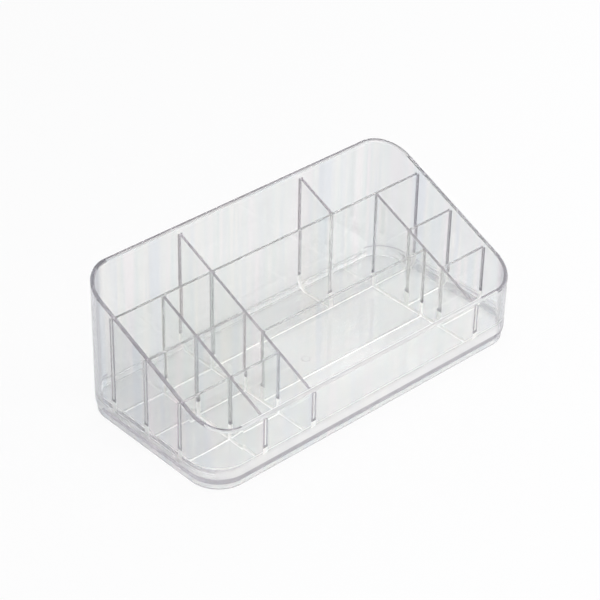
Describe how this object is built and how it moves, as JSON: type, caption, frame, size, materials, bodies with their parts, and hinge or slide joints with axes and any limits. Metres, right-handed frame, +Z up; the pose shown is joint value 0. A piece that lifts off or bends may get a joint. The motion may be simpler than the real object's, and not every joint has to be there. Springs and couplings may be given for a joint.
{
  "type": "vanity organizer",
  "caption": "Clear plastic vanity organizer: a rounded open tray with a sloped rim, taller at the back, split by upright dividers into small cells and wider bays.",
  "frame": {"origin": "middle of the footprint, at the level of the table", "axes": "+X to the right across the width, +Y from front to back, +Z up"},
  "size_m": [0.216, 0.106, 0.081],
  "materials": {
    "clear_plastic": "clear gloss"
  },
  "bodies": {
    "root": {"tray_shell": "clear_plastic", "foot_ring": "clear_plastic", "rear_cross_divider": "clear_plastic", "long_divider": "clear_plastic", "left_column_divider": "clear_plastic", "rear_bay_divider": "clear_plastic", "right_column_divider": "clear_plastic", "middle_cross_divider": "clear_plastic", "left_rear_cell_divider": "clear_plastic", "left_front_cell_divider": "clear_plastic", "right_rear_cell_divider": "clear_plastic", "right_front_cell_divider": "clear_plastic"}
  },
  "joints": []
}
